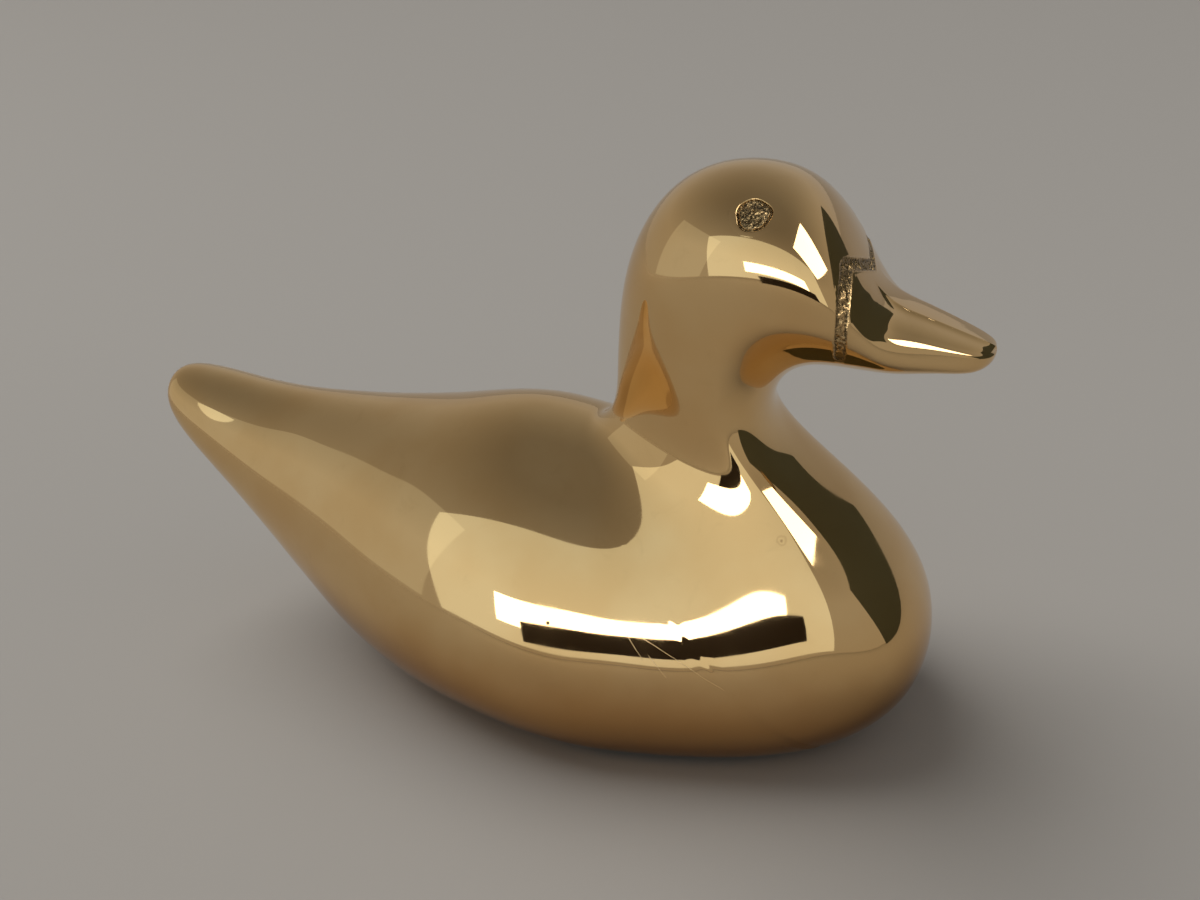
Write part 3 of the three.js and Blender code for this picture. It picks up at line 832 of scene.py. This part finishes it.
def polished_brass():
    """Mirror polish with stain, patina, pits, hairlines and scratches."""
    nodes = Nodes("polished_brass")
    colour = brass_colour(nodes)
    stained = nodes.math("MULTIPLY", stain(nodes), STAIN_SHARE)
    colour = nodes.blend(stained, colour, STAIN_COLOUR)
    patina = nodes.add("Attribute", attribute_name="patina").outputs["Fac"]
    grain = nodes.noise(SPECK_SIZE, detail=2, roughness=0.6)
    specks = nodes.ramp(grain, 0.38, 0.6, *SPECK_STRENGTHS)
    patina = nodes.math("MULTIPLY", patina, specks)
    colour = nodes.blend(nodes.ramp(patina, 0.0, 1.0), colour, PATINA_COLOUR)
    pits = spots(nodes, PIT_CELL, PIT_RADIUS, PIT_SHARE)
    colour = nodes.blend(nodes.math("MULTIPLY", pits, PIT_STRENGTH), colour, PIT_COLOUR)
    first, second = (hairlines(nodes, turn, width) for turn, width in HAIRLINES)
    lines = nodes.math("MULTIPLY", nodes.math("ADD", first, second), HAIRLINE_SHARE)
    for start, end in SCRATCHES:
        lines = nodes.math("MAXIMUM", lines, scratch(nodes, start, end))
    film = nodes.noise(HAZE_SIZE, detail=5, roughness=0.6, distortion=0.5)
    rough = nodes.ramp(film, 0.4, 0.75, *HAZE_ROUGHNESS)
    rougher = ((lines, LINE_ROUGHNESS), (patina, PATINA_ROUGHNESS), (pits, PIT_ROUGHNESS))
    for mark, amount in rougher:
        rough = nodes.math("ADD", rough, nodes.math("MULTIPLY", mark, amount))
    normal = nodes.bump(patina, -PATINA_DEPTH, nodes.bump(pits, -PIT_DEPTH))
    nodes.set(Base_Color=colour, Metallic=1.0, Roughness=rough, Normal=normal)
    return nodes.material


def grained_metal(name, grain, dark, pale, roughness, depth, metallic=1.0, stretch=(1, 1, 1)):
    """Plain metal whose colour, roughness and surface follow one grain."""
    nodes = Nodes(name)
    mottle = nodes.noise(vector=nodes.millimetres(scale=stretch), **grain)
    nodes.set(
        Base_Color=nodes.blend(mottle, dark, pale),
        Metallic=metallic,
        Roughness=nodes.ramp(mottle, 0.3, 0.7, *roughness),
        Normal=nodes.bump(mottle, depth),
    )
    return nodes.material


def pressed_felt():
    """Matted fibres in uneven green."""
    nodes = Nodes("pressed_felt")
    fibre = nodes.noise(FELT_FIBRE_SIZE, detail=6, roughness=0.75, distortion=1.5)
    colour = nodes.blend(fibre, FELT_DARK, FELT_PALE)
    cloud = nodes.math("MULTIPLY", nodes.noise(FELT_CLOUD_SIZE, detail=3), FELT_CLOUD_SHARE)
    nodes.set(
        Base_Color=nodes.blend(cloud, colour, FELT_CLOUD),
        Roughness=nodes.ramp(fibre, 0.2, 0.8, 0.85, 1.0),
        Sheen_Weight=FELT_SHEEN,
        Normal=nodes.bump(fibre, FELT_NAP),
    )
    return nodes.material


# Felt

def felt_outline():
    """Corners of the CAD pad's outline in turn, and its middle."""
    low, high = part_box("felt_pad")
    middle = (low + high) / 2
    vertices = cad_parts["felt_pad"].data.vertices
    corners = {(round(v.co.x, 7), round(v.co.y, 7)) for v in vertices if v.co.z < middle.z}
    in_turn = sorted(corners, key=lambda p: math.atan2(p[1] - middle.y, p[0] - middle.x))
    return np.array(in_turn), middle


def felt_mesh(name):
    """Felt cut to the CAD pad's outline, with soft edges and an uneven cut."""
    rng = np.random.default_rng(FELT_SEED)
    low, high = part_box("felt_pad")
    points, middle = felt_outline()
    sides = np.roll(points, -1, 0) - points
    fine = np.concatenate([points + sides * k / FELT_CUT_STEPS for k in range(FELT_CUT_STEPS)])
    fine = fine[np.argsort(np.arctan2(fine[:, 1] - middle.y, fine[:, 0] - middle.x))]
    inward = np.array([middle.x, middle.y]) - fine
    inward /= np.linalg.norm(inward, axis=1, keepdims=True)
    fine += inward * rng.uniform(0, FELT_CUT_UNEVENNESS, (len(fine), 1)) * MM
    radius = FELT_EDGE_ROUND * MM
    turns = [math.pi / 2 * k / FELT_EDGE_STEPS for k in range(FELT_EDGE_STEPS + 1)]
    rings = []
    for turn in turns:
        edge = fine + inward * radius * (1 - math.sin(turn))
        rings.append((edge, low.z + radius * (1 - math.cos(turn))))
    for turn in turns:
        edge = fine + inward * radius * (1 - math.cos(turn))
        rings.append((edge, high.z - radius * (1 - math.sin(turn))))
    vertices = [(x, y, z) for edge, z in rings for x, y in edge]
    count = len(fine)
    faces = []
    for i in range(len(rings) - 1):
        for j in range(count):
            k = (j + 1) % count
            faces.append((i * count + j, i * count + k, (i + 1) * count + k, (i + 1) * count + j))
    last = (len(rings) - 1) * count
    faces.append(list(reversed(range(count))))
    faces.append(list(range(last, last + count)))
    mesh = bpy.data.meshes.new(name)
    mesh.from_pydata(vertices, [], faces)
    mesh.update()
    return mesh


# Pieces

brass = polished_brass()
body_skin = skin_mesh("body_skin", 0, SEAM_RING)
head_skin = skin_mesh("head_skin", SEAM_RING, len(GRID) - 1)
new_piece("body_skin", body_skin, "body_shell", brass)
new_piece("head_skin", head_skin, "head_shell", brass)
new_piece("right_eye", eye_mesh("right_eye", 1), "eye_right", brass)
new_piece("left_eye", eye_mesh("left_eye", -1), "eye_left", brass)
felt = new_piece("felt", felt_mesh("felt"), "felt_pad", pressed_felt())

steel = grained_metal(
    "screw_steel",
    grain={"size": 0.15, "detail": 4},
    dark=(0.42, 0.42, 0.43, 1),
    pale=(0.6, 0.6, 0.61, 1),
    roughness=(0.25, 0.45),
    depth=0.01,
)
rolled_brass = grained_metal(
    "sheet_brass",
    grain={"size": 0.5, "detail": 3},
    dark=(0.62, 0.44, 0.19, 1),
    pale=(0.74, 0.56, 0.27, 1),
    roughness=(0.28, 0.42),
    depth=0.01,
    stretch=(0.03, 1, 1),
)
cast_iron = grained_metal(
    "ballast_iron",
    grain={"size": 0.8, "detail": 6, "roughness": 0.7},
    dark=(0.03, 0.03, 0.031, 1),
    pale=(0.1, 0.09, 0.085, 1),
    roughness=(0.6, 0.9),
    depth=0.1,
    metallic=0.8,
)
CARRIED = {
    "ballast": cast_iron,
    "base_plate": rolled_brass,
    "ballast_screw": steel,
    "base_screw_front": steel,
    "base_screw_rear": steel,
}
for node_name, material in CARRIED.items():
    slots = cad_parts[node_name].data.materials
    slots.clear()
    slots.append(material)


# Studio, in metres

FLOOR_COLOUR = (0.39, 0.376, 0.357, 1)
MATT = 0.9
FLOOR_HALF_WIDTH = 2.5
FLOOR_FRONT = -2.5
SWEEP_START = 0.12
SWEEP_RADIUS = 1.2
SWEEP_DEGREES = 36
SWEEP_STEPS = 30

# Room: what the camera and the polish see of it, from the floor up, and its fill light
ROOM_LOW = (0.38, 0.365, 0.34, 1)
ROOM_HIGH = (0.18, 0.173, 0.164, 1)
ROOM_LEVELS = (0.4, 0.95)
ROOM_FILL = (0.235, 0.228, 0.219, 1)


def studio_floor():
    """Plain pale floor that sweeps up into a backdrop."""
    nodes = Nodes("studio_paper")
    nodes.set(Base_Color=FLOOR_COLOUR, Roughness=MATT)
    profile = [(FLOOR_FRONT, 0.0)]
    for k in range(SWEEP_STEPS + 1):
        turn = math.radians(SWEEP_DEGREES) * k / SWEEP_STEPS
        y = SWEEP_START + SWEEP_RADIUS * math.sin(turn)
        profile.append((y, SWEEP_RADIUS * (1 - math.cos(turn))))
    points = [(side * FLOOR_HALF_WIDTH, y, z) for y, z in profile for side in (-1, 1)]
    faces = [(2 * k, 2 * k + 1, 2 * k + 3, 2 * k + 2) for k in range(len(profile) - 1)]
    mesh = bpy.data.meshes.new("studio_floor")
    mesh.from_pydata(points, [], faces)
    mesh.polygons.foreach_set("use_smooth", np.ones(len(faces), bool))
    mesh.materials.append(nodes.material)
    floor = bpy.data.objects.new("studio_floor", mesh)
    bpy.context.scene.collection.objects.link(floor)


def direction(azimuth, elevation):
    """Unit vector: azimuth 0 points along -Y and turns towards +X."""
    turn = math.radians(azimuth)
    rise = math.radians(elevation)
    level = math.cos(rise)
    return Vector((math.sin(turn) * level, -math.cos(turn) * level, math.sin(rise)))


def softbox(name, azimuth, elevation, distance, width, height, radiance, colour, lights_floor):
    """Rectangular lamp that faces the duck. It lights the floor, or else shows in the polish."""
    lamp = bpy.data.lights.new(name, "AREA")
    lamp.shape = "RECTANGLE"
    lamp.size = width
    lamp.size_y = height
    lamp.energy = radiance * math.pi * width * height
    lamp.color = colour
    holder = bpy.data.objects.new(name, lamp)
    way = direction(azimuth, elevation)
    holder.location = AIM + way * distance
    holder.rotation_euler = way.to_track_quat("Z", "Y").to_euler()
    holder.visible_camera = False
    holder.visible_diffuse = lights_floor
    holder.visible_glossy = not lights_floor
    bpy.context.scene.collection.objects.link(holder)


def dark_card(name, azimuth, elevation, distance, width, height, roll, colour):
    """Plain dark card that only the polished metal sees."""
    nodes = Nodes(name)
    nodes.set(Base_Color=colour, Roughness=MATT)
    corners = [(x * width / 2, y * height / 2, 0) for x, y in ((-1, -1), (1, -1), (1, 1), (-1, 1))]
    mesh = bpy.data.meshes.new(name)
    mesh.from_pydata(corners, [], [(0, 1, 2, 3)])
    mesh.materials.append(nodes.material)
    card = bpy.data.objects.new(name, mesh)
    way = direction(azimuth, elevation)
    spin = Matrix.Rotation(math.radians(roll), 3, "Z").to_quaternion()
    turn = way.to_track_quat("Z", "Y") @ spin
    card.location = AIM + way * distance
    card.rotation_euler = turn.to_euler()
    card.visible_camera = False
    card.visible_diffuse = False
    card.visible_shadow = False
    bpy.context.scene.collection.objects.link(card)


def studio_world():
    """Plain room. The camera and the polish see its walls; a dimmer fill lights the floor."""
    world = bpy.data.worlds.new("studio_room")
    world.use_nodes = True
    bpy.context.scene.world = world
    tree = world.node_tree
    seen = tree.nodes["Background"]
    fill = tree.nodes.new("ShaderNodeBackground")
    fill.inputs["Color"].default_value = ROOM_FILL
    coordinates = tree.nodes.new("ShaderNodeTexCoord")
    split = tree.nodes.new("ShaderNodeSeparateXYZ")
    ramp = tree.nodes.new("ShaderNodeValToRGB")
    for stop, level, colour in zip(ramp.color_ramp.elements, ROOM_LEVELS, (ROOM_LOW, ROOM_HIGH)):
        stop.position = level
        stop.color = colour
    tree.links.new(coordinates.outputs["Generated"], split.inputs[0])
    tree.links.new(split.outputs["Z"], ramp.inputs[0])
    tree.links.new(ramp.outputs[0], seen.inputs["Color"])
    path = tree.nodes.new("ShaderNodeLightPath")
    is_seen = path.outputs["Is Camera Ray"]
    for kind in ("Is Glossy Ray", "Is Transmission Ray"):
        either = tree.nodes.new("ShaderNodeMath")
        either.operation = "MAXIMUM"
        tree.links.new(is_seen, either.inputs[0])
        tree.links.new(path.outputs[kind], either.inputs[1])
        is_seen = either.outputs[0]
    mix = tree.nodes.new("ShaderNodeMixShader")
    tree.links.new(is_seen, mix.inputs[0])
    tree.links.new(fill.outputs[0], mix.inputs[1])
    tree.links.new(seen.outputs[0], mix.inputs[2])
    tree.links.new(mix.outputs[0], tree.nodes["World Output"].inputs["Surface"])


def studio_camera():
    """Camera at the photograph's place and angle."""
    roll = math.radians(CAMERA_ROLL)
    ahead = -direction(CAMERA_AZIMUTH, CAMERA_PITCH)
    level = Vector((ahead.y, -ahead.x, 0)).normalized()
    upright = level.cross(ahead)
    right = math.cos(roll) * level + math.sin(roll) * upright
    up = math.cos(roll) * upright - math.sin(roll) * level
    lens = bpy.data.cameras.new("photo_camera")
    lens.sensor_width = SENSOR_WIDTH
    lens.lens = SENSOR_WIDTH * FOCAL_PIXELS / IMAGE_WIDTH
    lens.clip_start = 0.01
    camera = bpy.data.objects.new("photo_camera", lens)
    turn = Matrix((right, up, -ahead)).transposed().to_4x4()
    camera.matrix_world = Matrix.Translation(Vector(CAMERA_PLACE) * MM + SHIFT) @ turn
    bpy.context.scene.collection.objects.link(camera)
    bpy.context.scene.camera = camera


AIM = Vector((0, 0, (cad_box[0].z + cad_box[1].z) / 2))
studio_floor()
studio_world()
softbox(
    "key_lamp",
    azimuth=252,
    elevation=52,
    distance=7.0,
    width=7.0,
    height=5.8,
    radiance=3.4,
    colour=(1.0, 0.97, 0.93),
    lights_floor=True,
)
softbox(
    "front_wall",
    azimuth=0,
    elevation=26,
    distance=1.2,
    width=2.2,
    height=1.15,
    radiance=0.52,
    colour=(0.84, 0.97, 1.0),
    lights_floor=False,
)
softbox(
    "left_wall",
    azimuth=-67,
    elevation=20,
    distance=1.2,
    width=1.0,
    height=0.85,
    radiance=0.14,
    colour=(0.84, 0.97, 1.0),
    lights_floor=False,
)
softbox(
    "window",
    azimuth=0,
    elevation=15,
    distance=1.1,
    width=0.8,
    height=0.24,
    radiance=4.0,
    colour=(1.0, 0.99, 0.97),
    lights_floor=False,
)
softbox(
    "side_window",
    azimuth=80,
    elevation=48,
    distance=1.0,
    width=0.75,
    height=0.5,
    radiance=4.0,
    colour=(1.0, 0.99, 0.97),
    lights_floor=False,
)
dark_card(
    "camera_card",
    azimuth=12,
    elevation=6,
    distance=0.3,
    width=0.22,
    height=0.05,
    roll=4,
    colour=(0.03, 0.022, 0.018, 1),
)
dark_card(
    "side_card",
    azimuth=118,
    elevation=12,
    distance=0.7,
    width=0.85,
    height=0.4,
    roll=0,
    colour=(0.08, 0.09, 0.07, 1),
)
studio_camera()
bpy.context.scene.view_settings.view_transform = "Standard"
